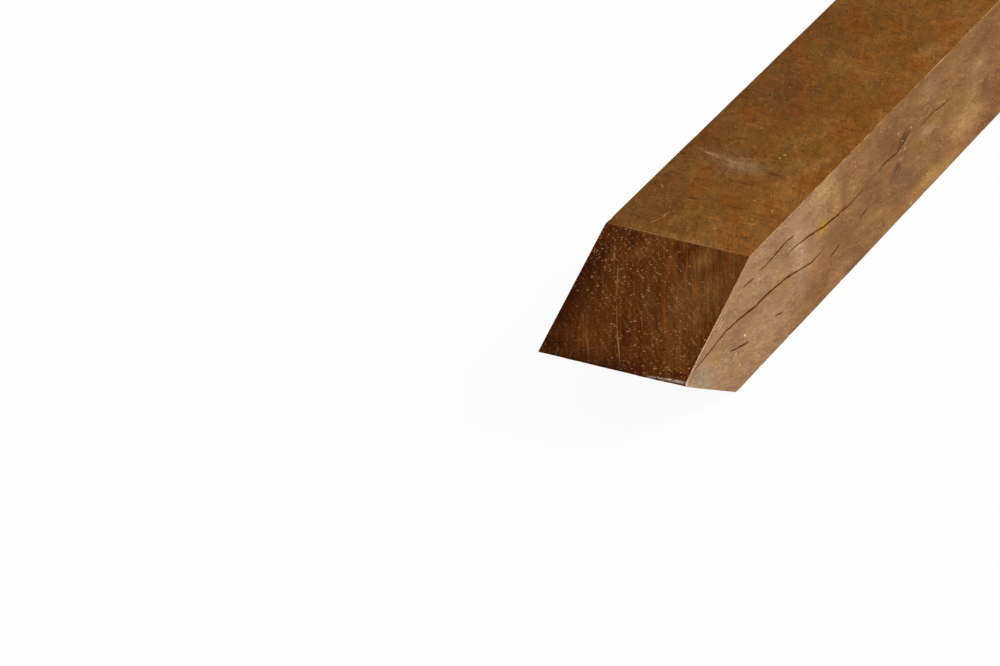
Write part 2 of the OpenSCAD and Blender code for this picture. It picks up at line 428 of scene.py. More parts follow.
def tornFibres():
    # Each fibre is a four-sided sliver along a bent line: its place is the start plus the direction times
    # the distance along it, and its width falls to a point by a power of what is left of its length
    pick = np.random.default_rng(fibres["seed"])
    tips, edges, stations = fibres["tipCount"], fibres["edgeCount"], 6
    count, slope = tips + edges, cutRise / form["pointLength"]
    firstX, lastX = fibres["tipX"]

    def both(forTips, forEdges):
        return np.concatenate([forTips, forEdges])[:, None]

    length = both(pick.uniform(*fibres["tipLength"], tips), pick.uniform(*fibres["edgeLength"], edges))
    width = both(np.full(tips, fibres["tipWidth"]), np.full(edges, fibres["edgeWidth"]))
    width = width * pick.uniform(0.6, 1.3, (count, 1))
    startX = both(firstX + (lastX - firstX) * pick.uniform(0, 1, tips) ** 0.7,
                  pick.uniform(*fibres["edgeX"], edges))
    startT = both(pick.uniform(*fibres["tipT"], tips), pick.uniform(*fibres["edgeT"], edges))
    sink = both(pick.uniform(0, 0.5, tips), np.full(edges, 0.1))
    startH = form["tipLand"] / 2 + startT * slope - sink
    startT = startT + tornBack(startX, startT)
    turn = pick.normal(0.5, 0.5, tips)
    stepT = both(-np.cos(turn), pick.choice([-0.9, 0.9], edges))
    stepX = both(np.sin(turn), pick.normal(0, 0.12, edges))
    stepH = stepT * slope + both(pick.uniform(-0.1, 0.15, tips), pick.uniform(0.05, 0.2, edges))
    f = np.linspace(0, 1, stations)[None, :]
    x = startX + length * (stepX * f + pick.uniform(-0.3, 0.3, (count, 1)) * f**2)
    t = startT + length * stepT * f
    h = startH + length * stepH * f
    half = (width / 2 * np.maximum(1 - f, 0.04) ** 0.7)[..., None]
    around = np.radians([0, 90, 180, 270])
    x = np.clip(x[..., None] + half * np.cos(around), *fibres["xLimits"])
    h = h[..., None] + 0.4 * half * np.sin(around)
    t = np.maximum(t[..., None] + 0 * x, fibres["tLimit"])
    points = np.stack([x, t, h], 3).reshape(-1, 3)
    n, j, k = np.meshgrid(np.arange(count), np.arange(stations - 1), np.arange(4), indexing="ij")
    start, following = (n * stations + j) * 4, (k + 1) % 4
    sides = np.stack([start + k, start + following, start + 4 + following, start + 4 + k], 3).reshape(-1, 4)
    base = (np.arange(count) * stations * 4)[:, None]
    quads = np.concatenate([sides, base + [3, 2, 1, 0], base + 4 * (stations - 1) + [0, 1, 2, 3]])
    owner = quads[:, 0] // (4 * stations)
    a, b, c, d = [points[quads[:, m]] - points[owner * 4 * stations] for m in range(4)]
    swept = np.einsum("ij,ij->i", a, np.cross(b, c)) + np.einsum("ij,ij->i", a, np.cross(c, d))
    inward = np.bincount(owner, swept) < 0      # fibres whose faces would look inward are turned round
    quads = np.where(inward[owner][:, None], quads[:, ::-1], quads)
    return makePiece("tornFringe", points, quads)


tornFringe = tornFibres()
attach(tornFringe, "root")
print("torn fibres made:", len(tornFringe.data.polygons) * 2, "triangles")


# Node helpers

def addNode(tree, kind, inputs=None, **settings):
    # A node with its settings, whose inputs take a value or a link from another node's output
    made = tree.nodes.new(kind)
    for key, value in settings.items():
        setattr(made, key, value)
    for key, value in (inputs or {}).items():
        if isinstance(value, bpy.types.NodeSocket):
            tree.links.new(value, made.inputs[key])
        else:
            made.inputs[key].default_value = value
    return made


def maths(tree, operation, a, b=0.0, c=0.0):
    return addNode(tree, "ShaderNodeMath", {0: a, 1: b, 2: c}, operation=operation).outputs[0]


def times(tree, a, b):
    return maths(tree, "MULTIPLY", a, b)


def vectorMaths(tree, operation, *values):
    return addNode(tree, "ShaderNodeVectorMath", dict(enumerate(values)), operation=operation).outputs


def separate(tree, vector):
    return addNode(tree, "ShaderNodeSeparateXYZ", {0: vector}).outputs


def combine(tree, *values):
    return addNode(tree, "ShaderNodeCombineXYZ", dict(enumerate(values))).outputs[0]


def attribute(tree, name):
    return addNode(tree, "ShaderNodeAttribute", attribute_name=name).outputs["Fac"]


def mixColour(tree, amount, a, b, blend="MIX"):
    return addNode(tree, "ShaderNodeMix", {0: amount, 6: a, 7: b}, data_type="RGBA",
                   blend_type=blend).outputs[2]


def mapRange(tree, value, fromLow, fromHigh, low=0.0, high=1.0, kind="SMOOTHSTEP"):
    inputs = {0: value, 1: fromLow, 2: fromHigh, 3: low, 4: high}
    return addNode(tree, "ShaderNodeMapRange", inputs, interpolation_type=kind).outputs[0]


def colour(code):
    # Linear colour of a hex code: a power of 2.4, or a straight line near black
    screen = [int(code[n:n + 2], 16) for n in (0, 2, 4)]
    return [((c / 255 + 0.055) / 1.055) ** 2.4 if c > 10 else c / 3294.6 for c in screen] + [1.0]


def ramp(tree, value, stops):
    node = addNode(tree, "ShaderNodeValToRGB", {0: value})
    elements = node.color_ramp.elements
    elements[0].position, elements[0].color = stops[0][0], colour(stops[0][1])
    elements[1].position, elements[1].color = stops[-1][0], colour(stops[-1][1])
    for place, shade in stops[1:-1]:
        elements.new(place).color = colour(shade)
    return node.outputs[0]


# Node groups shared by the wood's materials. Vectors are in millimetres along a face.

def newGroup(name, output, inputs):
    # A node group with one output. Each input has the value that it starts from, or else its kind.
    group = bpy.data.node_groups.new(name, "ShaderNodeTree")
    for key, value in inputs.items():
        kind = value if isinstance(value, str) else "Float"
        socket = group.interface.new_socket(key, in_out="INPUT", socket_type="NodeSocket" + kind)
        if kind == "Float":
            socket.default_value = value
    group.interface.new_socket("Result", in_out="OUTPUT", socket_type="NodeSocket" + output)
    return group, group.nodes.new("NodeGroupInput").outputs, group.nodes.new("NodeGroupOutput").inputs


def patternGroup(name, inputs):
    # A group for a pattern that is turned and stretched along the face
    stretch = {"Vector": "Vector", "Angle": 0.0, "Along": 10.0, "Across": 1.0}
    group, given, result = newGroup(name, "Float", {**stretch, **inputs})
    turned = addNode(group, "ShaderNodeVectorRotate", {"Vector": given["Vector"], "Angle": given["Angle"]},
                     rotation_type="Z_AXIS").outputs[0]
    axes = separate(group, turned)
    along = maths(group, "DIVIDE", axes[0], given["Along"])
    return group, given, result, along, maths(group, "DIVIDE", axes[1], given["Across"])


def streaksGroup():
    # Noise stretched along one direction of the face
    group, given, result, along, across = patternGroup("Streaks", {"Detail": 2.0, "Seed": 0.0})
    place = combine(group, along, across, given["Seed"])
    noise = addNode(group, "ShaderNodeTexNoise", {"Vector": place, "Scale": 1.0, "Detail": given["Detail"],
                                                  "Roughness": 0.55})
    group.links.new(noise.outputs[0], result[0])
    return group


def flecksGroup():
    # Small ellipses, one in each chosen cell of a stretched pattern of cells
    group, given, result, along, across = patternGroup("Flecks", {"Size": 0.3, "Amount": 0.5, "Seed": 0.0})
    place = combine(group, maths(group, "ADD", along, given["Seed"]), across)
    cells = addNode(group, "ShaderNodeTexVoronoi", {"Vector": place, "Scale": 1.0},
                    voronoi_dimensions="2D").outputs
    chance = addNode(group, "ShaderNodeSeparateColor", {0: cells["Color"]}).outputs
    chosen = maths(group, "LESS_THAN", chance[0], given["Amount"])
    radius = times(group, given["Size"], maths(group, "MULTIPLY_ADD", chance[1], 0.8, 0.5))
    depth = maths(group, "SUBTRACT", 1.0, maths(group, "DIVIDE", cells["Distance"], radius))
    group.links.new(times(group, mapRange(group, depth, 0.0, 0.6), chosen), result[0])
    return group


def markGroup():
    # One soft ellipse of a colour, laid over the base at a place on the face. It is turned with plain
    # maths, so that a material has room for many of them.
    group, given, result = newGroup("Mark", "Color", {
        "Base": "Color", "Vector": "Vector", "Break": 1.0, "Place": "Vector", "Angle": 0.0, "Length": 10.0,
        "Width": 1.0, "Soft": 0.5, "Broken": 0.5, "Colour": "Color", "Strength": 1.0})
    here, middle = separate(group, given["Vector"]), separate(group, given["Place"])
    right, up = [maths(group, "SUBTRACT", here[n], middle[n]) for n in range(2)]
    cosine, sine = maths(group, "COSINE", given["Angle"]), maths(group, "SINE", given["Angle"])
    along = maths(group, "MULTIPLY_ADD", right, cosine, times(group, up, sine))
    across = maths(group, "SUBTRACT", times(group, up, cosine), times(group, right, sine))
    along = maths(group, "POWER", maths(group, "DIVIDE", along, given["Length"]), 2.0)
    across = maths(group, "POWER", maths(group, "DIVIDE", across, given["Width"]), 2.0)
    away = times(group, maths(group, "SQRT", maths(group, "ADD", along, across)), 2.0)
    inside = mapRange(group, away, 1.0, maths(group, "SUBTRACT", 1.0, given["Soft"]))
    missing = times(group, given["Broken"], maths(group, "SUBTRACT", 1.0, given["Break"]))
    amount = times(group, inside, maths(group, "SUBTRACT", 1.0, missing))
    amount = times(group, amount, given["Strength"])
    group.links.new(mixColour(group, amount, given["Base"], given["Colour"]), result[0])
    return group


streaks, flecks, mark = streaksGroup(), flecksGroup(), markGroup()


# The wood's materials. Colours are hex codes. Each face's dictionary holds:
# axes: what x, t and h add to each axis of the face
# places: size and reach in millimetres of the noise that moves the face's points, by name
# streaks: (place, turn in degrees, length, width, detail, seed), by name
# flecks: (place, turn in degrees, length, width, size, share of cells, seed), by name
# masks: (streaks, value where the mask is least, value where it is 1, its least if not 0), by name
# tints: laid over the base where the hues are high and where they are low
# levels: (streaks, how dark, how light, mask)
# held: the masks that hold flecks back
# dabs: (flecks, strength, colour)
# edge: strength and colour of the wear on the arrises
# bumps: (streaks or flecks, height), and roughness: (streaks, low, high)
# zones and marks: (u, v, angle in degrees, length, width, softness, how broken, colour, strength)

wood = {
    "specular": 0.03,
    "checkShadeColour": "6a3804",        # painted shade and stain in the open checks
    "checkRimShade": "ffe8be",            # painted shade, laid warm over the wood beside them
    "tintReach": 0.18,              # how far off their middle the hues have all of a tint
    "away": -1500.0,                # how far the patterns of the faces turned away are moved
}


def newMaterial(name, specular=wood["specular"]):
    material = bpy.data.materials.new(name)
    material.use_nodes = True
    tree = material.node_tree
    shader = tree.nodes["Principled BSDF"]
    shader.inputs["Specular IOR Level"].default_value = specular
    return material, tree, shader


def faceVector(tree, rows, away=0.0):
    # Millimetres along a face from Object coordinates: each row holds what x, t and h add to one axis.
    # Where the third axis is below 0, which is the opposite face, the second is moved by away, so that
    # this face has a pattern of its own and none of the marks.
    place = addNode(tree, "ShaderNodeTexCoord").outputs["Object"]
    origin = (0, postLow[1], postLow[2] + postHeight / 2000)
    place = vectorMaths(tree, "SUBTRACT", place, origin)[0]
    axes = [vectorMaths(tree, "DOT_PRODUCT", place, [1000 * n for n in row])["Value"] for row in rows]
    moved = maths(tree, "MULTIPLY_ADD", maths(tree, "LESS_THAN", axes[2]), away, axes[1])
    return combine(tree, axes[0], moved, axes[2])


def movedVector(tree, vector, size, reach):
    # The same place moved by noise, which makes the outline of a mark uneven
    noise = addNode(tree, "ShaderNodeTexNoise", {"Vector": vector, "Scale": 1 / size, "Detail": 2.0})
    centred = vectorMaths(tree, "SUBTRACT", noise.outputs["Color"], (0.5, 0.5, 0.5))[0]
    return vectorMaths(tree, "MULTIPLY_ADD", centred, (reach, reach, 0), vector)[0]


def layPatterns(tree, face):
    # The places of a face and the patterns and masks on them, each by its name in the face's dictionary
    places = {"even": faceVector(tree, face["axes"], wood["away"])}
    for name, (size, reach) in face["places"].items():
        places[name] = movedVector(tree, places["even"], size, reach)
    made = {}
    for group, rows in ((streaks, face["streaks"]), (flecks, face["flecks"])):
        for name, (place, turn, *others) in rows.items():
            inputs = {0: places[place], 1: math.radians(turn), **dict(enumerate(others, 2))}
            made[name] = addNode(tree, "ShaderNodeGroup", inputs, node_tree=group).outputs[0]
    for name, (source, *limits) in face["masks"].items():
        made[name] = mapRange(tree, made[source], *limits)
    return places, made


def paintMarks(tree, base, vector, breakUp, rows):
    for u, v, angle, length, width, soft, broken, shade, strength in rows:
        inputs = {"Base": base, "Vector": vector, "Break": breakUp, "Place": (u, v, 0),
                  "Angle": math.radians(angle), "Length": length, "Width": width, "Soft": soft,
                  "Broken": broken, "Colour": colour(shade), "Strength": strength}
        base = addNode(tree, "ShaderNodeGroup", inputs, node_tree=mark).outputs[0]
    return base


def brighten(tree, base, value, least, most, amount):
    # The base times a level that runs from least to most as the value runs over the middle of its range
    level = mapRange(tree, value, 0.3, 0.7, least, most, "LINEAR")
    grey = addNode(tree, "ShaderNodeCombineColor", {0: level, 1: level, 2: level}).outputs[0]
    return mixColour(tree, amount, base, grey, "MULTIPLY")


def woodMaterial(name, face, firstColours):
    # Over the first colours, which a function of the face's own gives, lie its zones, tints, levels,
    # flecks and marks, then the wear on the arrises and the painted shade and stain of the checks
    material, tree, shader = newMaterial(name)
    places, made = layPatterns(tree, face)
    base = firstColours(tree, face, places, made)
    base = paintMarks(tree, base, places["ragged"], made.get("zoneBreak"), face["zones"])
    for tint, reach in zip(face["tints"], (wood["tintReach"], -wood["tintReach"])):
        mask = mapRange(tree, made["hues"], 0.5, 0.5 + reach)
        base = mixColour(tree, mask, base, colour(tint), "MULTIPLY")
    for key, least, most, *mask in face["levels"]:
        base = brighten(tree, base, made[key], least, most, made[mask[0]] if mask else 1.0)
    for key, mask in face["held"].items():
        made[key] = times(tree, made[key], made[mask])
    marks = (places[face["marksOn"]], made.get("markBreak"), face["marks"])
    if face["flecksLast"]:
        base = paintMarks(tree, base, *marks)
    for key, strength, shade in face["dabs"]:
        base = mixColour(tree, times(tree, made[key], strength), base, colour(shade))
    if not face["flecksLast"]:
        base = paintMarks(tree, base, *marks)
    strength, shade = face["edge"]
    worn = times(tree, times(tree, attribute(tree, "arrisWear"), made["edgeBreak"]), strength)
    base = mixColour(tree, worn, base, colour(shade))
    # Painted shade and stain in the checks: their rims darkened warm and their floors made dark
    checkShadeAmount = attribute(tree, "checkShade")
    base = mixColour(tree, checkShadeAmount, base, colour(wood["checkRimShade"]), "MULTIPLY")
    base = mixColour(tree, mapRange(tree, checkShadeAmount, 0.25, 1.0), base, colour(wood["checkShadeColour"]))
    tree.links.new(base, shader.inputs["Base Color"])
    key, low, high = face["roughness"]
    tree.links.new(mapRange(tree, made[key], 0.3, 0.7, low, high, "LINEAR"), shader.inputs["Roughness"])
    height = 0.0
    for key, weight in face["bumps"]:
        height = maths(tree, "MULTIPLY_ADD", made[key], weight, height)
    bump = addNode(tree, "ShaderNodeBump", {"Height": height, "Strength": 1.0, "Distance": 0.001})
    tree.links.new(bump.outputs[0], shader.inputs["Normal"])
    return material


# Sawn top and bottom: u runs across the post and v along it

sawnTop = {
    "axes": [(1, 0, 0), (0, 1, 0), (0, 0, 1)],
    "places": {"ragged": (3, 2.4)},
    "streaks": {
        "zones": ("even", -104, 40, 22, 2, 3.1),
        "blotches": ("even", -104, 8, 3.6, 3, 7.7),
        "patches": ("even", 0, 14, 9, 2, 0.9),
        "strokes": ("ragged", -104, 4, 1.1, 2, 1.3),
        "ticks": ("even", 0, 8, 1, 2, 2.7),
        "grain": ("even", -104, 1.4, 0.6, 1, 5.9),
        "hues": ("even", -104, 24, 11, 3, 6.6),
    },
    "flecks": {
        "dark": ("ragged", 5.73, 5.5, 1.5, 0.34, 0.2, 2.2),
        "pale": ("even", -114, 4.6, 1.5, 0.24, 0.08, 8.4),
        "pits": ("ragged", -104, 3.4, 2, 0.3, 0.1, 4.1),
    },
    "ramp": [(0.28, "6e4115"), (0.44, "774a1c"), (0.56, "7c4e20"), (0.74, "845727")],
    "tints": ("ffedd6", "f3fbff"),
    "slopeRun": 0.4,                # how fast the checked side's half gets lighter than the other
    "masks": {"zoneBreak": ("blotches", 0.4, 0.6), "markBreak": ("strokes", 0.4, 0.6),
              "edgeBreak": ("grain", 0.5, 0.66), "rough": ("patches", 0.4, 0.62, 0.35),
              "offTicks": ("ticks", 0.56, 0.4)},
    "levels": [("sideways", 0.83, 1.17), ("blotches", 0.82, 1.18), ("strokes", 0.74, 1.26, "rough"),
               ("ticks", 0.8, 1.2, "rough"), ("grain", 0.86, 1.14, "rough")],
    "held": {"dark": "offTicks"},
    "dabs": [("dark", 0.8, "4c280e"), ("pits", 0.6, "4c280e"), ("pale", 0.45, "b0824c")],
    "edge": (0.5, "a87e4c"),
    "bumps": [("strokes", 0.08), ("grain", 0.08), ("dark", -0.08), ("pale", 0.05)],
    "roughness": ("blotches", 0.72, 0.9),
    "marksOn": "ragged",
    "flecksLast": False,            # whether the flecks lie over the marks
}
sawnTop["zones"] = [
    (-18, 262, 85, 70, 36, 1, 0.1, "623816", 0.6),
    (-17, 100, 80, 46, 20, 0.9, 0.1, "6e3c12", 0.5),
    (-8, 96, 70, 18, 12, 0.9, 0.1, "82582a", 0.5),
    (23, 94, 80, 26, 12, 0.9, 0.1, "764218", 0.5),
    (26, 130, 60, 26, 14, 0.9, 0.2, "8a5e30", 0.5),
    (-31, 104, 90, 44, 8, 0.9, 0.2, "765426", 0.5),
    (0, 79, 0, 70, 8, 0.9, 0.4, "8c6236", 0.6),
    (-3, 145, 10, 60, 12, 1, 0.3, "6c401c", 0.5),
    (-8, 170, -12, 50, 44, 1, 0.2, "8c6640", 0.6),
    (0, 224, 80, 40, 26, 1, 0.2, "683a14", 0.6),
    (20, 186, 80, 60, 20, 1, 0.2, "8c6030", 0.5),
    (26, 186, 80, 60, 14, 1, 0.2, "8c6032", 0.6),
    (-24, 200, 85, 34, 16, 1, 0.2, "683a14", 0.5),
    (2, 246, 30, 44, 22, 1, 0.2, "683c16", 0.5),
    (26, 345, 80, 60, 16, 1, 0.2, "8e6234", 0.6),
    (4, 296, 20, 40, 14, 1, 0.3, "704620", 0.4),
    (-2, 343.2, -8, 26, 10, 1, 0.3, "885e30", 0.3),
]
sawnTop["marks"] = [
    (-4.4, 169, -18, 32, 20, 1, 0.5, "907252", 0.65),
    (-28, 176.5, -8, 10, 2.6, 1, 0.6, "9a744e", 0.5),
    (-20.6, 174, -8, 13, 4.6, 1, 0.6, "b0906e", 0.75),
    (-17, 171.6, -22, 8, 2.4, 1, 0.5, "aa8a68", 0.6),
    (-10, 171.2, -20, 15, 2.6, 1, 0.6, "a0805e", 0.5),
    (-2, 165.5, -16, 15, 2.2, 1, 0.6, "9a7a58", 0.45),
    (0, 171.5, -14, 12, 2, 1, 0.6, "9a7a58", 0.45),
    (-16.6, 89, 68, 10, 0.9, 0.7, 0.2, "ae804a", 0.8),
    (-14.7, 98, 86, 12, 0.9, 0.7, 0.2, "ae804a", 0.8),
    (-11.5, 104.5, 30, 8, 0.8, 0.7, 0.2, "a47644", 0.7),
    (-9.5, 97, 100, 9, 0.8, 0.7, 0.3, "a07442", 0.5),
    (0, 75.6, 0, 90, 1.8, 0.7, 0.5, "a47848", 0.7),
    (8.8, 190.9, 30, 1.9, 1.1, 0.7, 0, "deb276", 0.85),
    (8.2, 186.7, 50, 1.7, 1.2, 0.7, 0, "d6a86c", 0.85),
    (-20.1, 244.7, 0, 2.6, 2.6, 0.7, 0, "542e10", 0.8),
    (-27.4, 227.8, 0, 2.2, 2.2, 0.7, 0, "583212", 0.7),
    (8.1, 203.8, -20, 5, 1.4, 0.7, 0, "50280e", 0.8),
    (10.2, 202.6, -30, 3, 1.2, 0.7, 0, "be9260", 0.6),
    (12.7, 167.2, -5, 14, 6, 1, 0.3, "54260a", 0.8),
    (3.7, 150.4, 0, 17, 5, 1, 0.4, "56280c", 0.8),
    (-15.2, 198.1, 20, 11, 5, 1, 0.5, "562c10", 0.8),
    (-17, 216, -5, 9, 2.2, 1, 0.7, "a67a50", 0.6),
    (-12, 220, -12, 8, 2, 1, 0.7, "a67a50", 0.6),
    (-11, 215, -30, 7, 2, 1, 0.7, "a4784e", 0.6),
    (17.9, 157.2, 104, 14, 1, 0.7, 0.3, "a47a4c", 0.6),
    (9.1, 173, 80, 10, 1.3, 0.8, 0.4, "a0764a", 0.6),
    (10, 96, 60, 2.2, 1.2, 0.6, 0, "c4965a", 0.8),
    (15, 134.5, 60, 1.8, 1.1, 0.6, 0, "c4965a", 0.8),
    (-27.5, 127, 115, 6, 0.9, 0.6, 0, "a47644", 0.7),
    (26, 128, 115, 6, 0.9, 0.6, 0, "b0824e", 0.7),
    (10.5, 122.4, 3, 13, 2.2, 0.9, 0.2, "4c280c", 0.85),
    (21, 121, -5, 10, 1.5, 0.8, 0.2, "522e10", 0.7),
    (-9.7, 122.4, 5, 9, 2.6, 0.9, 0.2, "502a0c", 0.8),
    (-24, 122.8, 0, 14, 1.8, 0.9, 0.3, "583212", 0.6),
    (4.3, 131.8, 0, 9, 1.2, 0.8, 0.3, "543012", 0.6),
    (-12, 134, 3, 12, 1.2, 0.8, 0.3, "563012", 0.6),
    (21, 111, 3, 10, 1.6, 0.8, 0.2, "543012", 0.7),
    (-5.5, 111, 3, 6, 1.5, 0.8, 0.2, "543012", 0.7),
    (7, 111.5, 0, 10, 1.2, 0.9, 0.3, "5a3414", 0.6),
    (-10.5, 104, 20, 4, 2, 0.8, 0.1, "582c20", 0.8),
    (7.1, 154.5, 10, 8, 1.3, 0.7, 0.2, "4e2a12", 0.8),
    (-20, 88.5, 60, 6, 2.2, 0.9, 0.2, "582e0e", 0.6),
]


def topColours(tree, face, places, made):
    # The sideways level runs evenly across the face
    across = separate(tree, places["even"])[0]
    made["sideways"] = maths(tree, "MULTIPLY_ADD", across, face["slopeRun"] / postWidth, 0.5)
    return ramp(tree, made["zones"], face["ramp"])


# Sawn sides: u runs along the post and v up

sawnSide = {
    "axes": [(0, 1, 0), (0, 0, 1), (1, 0, 0)],
    "places": {"ragged": (5, 5), "close": (2, 1)},
    "streaks": {
        "zones": ("even", 14, 50, 16, 2, 2.3),
        "blotches": ("even", 14, 18, 3.4, 3, 6.1),
        "patches": ("even", 14, 22, 11, 2, 8.8),
        "strokes": ("even", 24, 5, 1.1, 2, 9.2),
        "fibre": ("even", 0, 9, 0.9, 2, 3.6),
        "grain": ("even", 0, 1.8, 0.6, 1, 5.1),
        "hues": ("even", 14, 22, 8, 2, 4.4),
    },
    "flecks": {
        "dark": ("close", -18, 6, 1.4, 0.32, 0.16, 3.3),
        "pale": ("close", 24, 6, 1.2, 0.3, 0.22, 7.4),
    },
    "ramp": [(0.25, "8c6849"), (0.44, "977250"), (0.56, "9d7754"), (0.75, "a7815c")],
    "farRamp": [(0.25, "724c2c"), (0.44, "815935"), (0.56, "89603a"), (0.75, "966c43")],
    "fade": (140, 200),             # distances from the tip over which the near colours give way
    "fadeLean": 0.8,                # how much further from the tip they do so for each mm up
    "tints": ("fff9fb", "fbffee"),
    "masks": {"zoneBreak": ("blotches", 0.35, 0.6), "markBreak": ("strokes", 0.35, 0.6),
              "edgeBreak": ("blotches", 0.44, 0.56), "rough": ("patches", 0.4, 0.62, 0.4),
              "redder": ("hues", 0.45, 0.6), "lighter": ("blotches", 0.4, 0.6)},
    "levels": [("blotches", 0.862, 1.1), ("strokes", 0.79, 1.21, "rough"), ("fibre", 0.88, 1.12, "rough"),
               ("grain", 0.9, 1.1, "rough")],
    "held": {"dark": "redder", "pale": "lighter"},
    "dabs": [("dark", 0.4, "603a1e"), ("pale", 0.4, "c49e72")],
    "edge": (1.0, "deb88e"),
    "bumps": [("strokes", 0.08), ("grain", 0.08), ("fibre", 0.1), ("dark", -0.08)],
    "roughness": ("blotches", 0.75, 0.9),
    "marksOn": "close", "flecksLast": False,
}
sawnSide["zones"] = [
    (24, -6, -26, 60, 20, 1, 0.1, "947e6a", 0.8),
    (26, -13, -20, 64, 26, 1, 0.1, "987f66", 0.8),
    (92, -29, 0, 60, 16, 1, 0.1, "8e6c54", 0.6),
    (90, 10, -5, 70, 20, 0.9, 0.1, "a07e56", 0.5),
    (62, -12, -10, 50, 18, 0.9, 0.1, "98785a", 0.5),
    (146, 10, -55, 74, 27, 1, 0.1, "ae8c6a", 0.75),
    (172, 27, -5, 56, 20, 1, 0.1, "b0885a", 0.8),
    (176, 10, -20, 34, 15, 1, 0.1, "a47a44", 0.6),
    (200, -6, -12, 50, 14, 0.9, 0.1, "7e5632", 0.5),
    (172, -15, -10, 30, 16, 1, 0.1, "88603e", 0.5),
    (196, 15, -60, 30, 22, 1, 0.1, "b08250", 0.7),
    (210, -28, -4, 60, 18, 1, 0.1, "a47850", 0.7),
    (246, 15, -10, 34, 18, 1, 0.1, "7a5230", 0.6),
    (270, -28, -4, 34, 16, 1, 0.1, "805832", 0.6),
    (320, -15, -10, 34, 16, 1, 0.1, "7e5838", 0.5),
    (218, 14, -12, 40, 16, 0.9, 0.1, "9e744a", 0.6),
    (266, 22, -10, 76, 28, 1, 0.1, "724c2e", 0.8),
    (286, -2.5, 10, 36, 11, 0.9, 0.1, "684e34", 0.75),
    (300, -13, -12, 48, 15, 0.9, 0.1, "76563e", 0.8),
    (326, 24, -14, 50, 20, 1, 0.1, "9a7350", 0.6),
    (328, 1, -8, 30, 9, 0.9, 0.2, "a88262", 0.7),
    (340, -6, -16, 24, 10, 0.8, 0.1, "764e32", 0.6),
    (372, 9, -8, 44, 9, 0.8, 0.1, "7a5032", 0.7),
    (388, -16, -8, 90, 36, 1, 0.1, "ae8353", 0.85),
    (396, -2, -8, 40, 14, 1, 0.1, "a8805c", 0.5),
    (346, -30, -4, 110, 20, 1, 0.1, "a87e4c", 0.9),
    (402, 8, -8, 44, 18, 1, 0.1, "a27a52", 0.7),
]
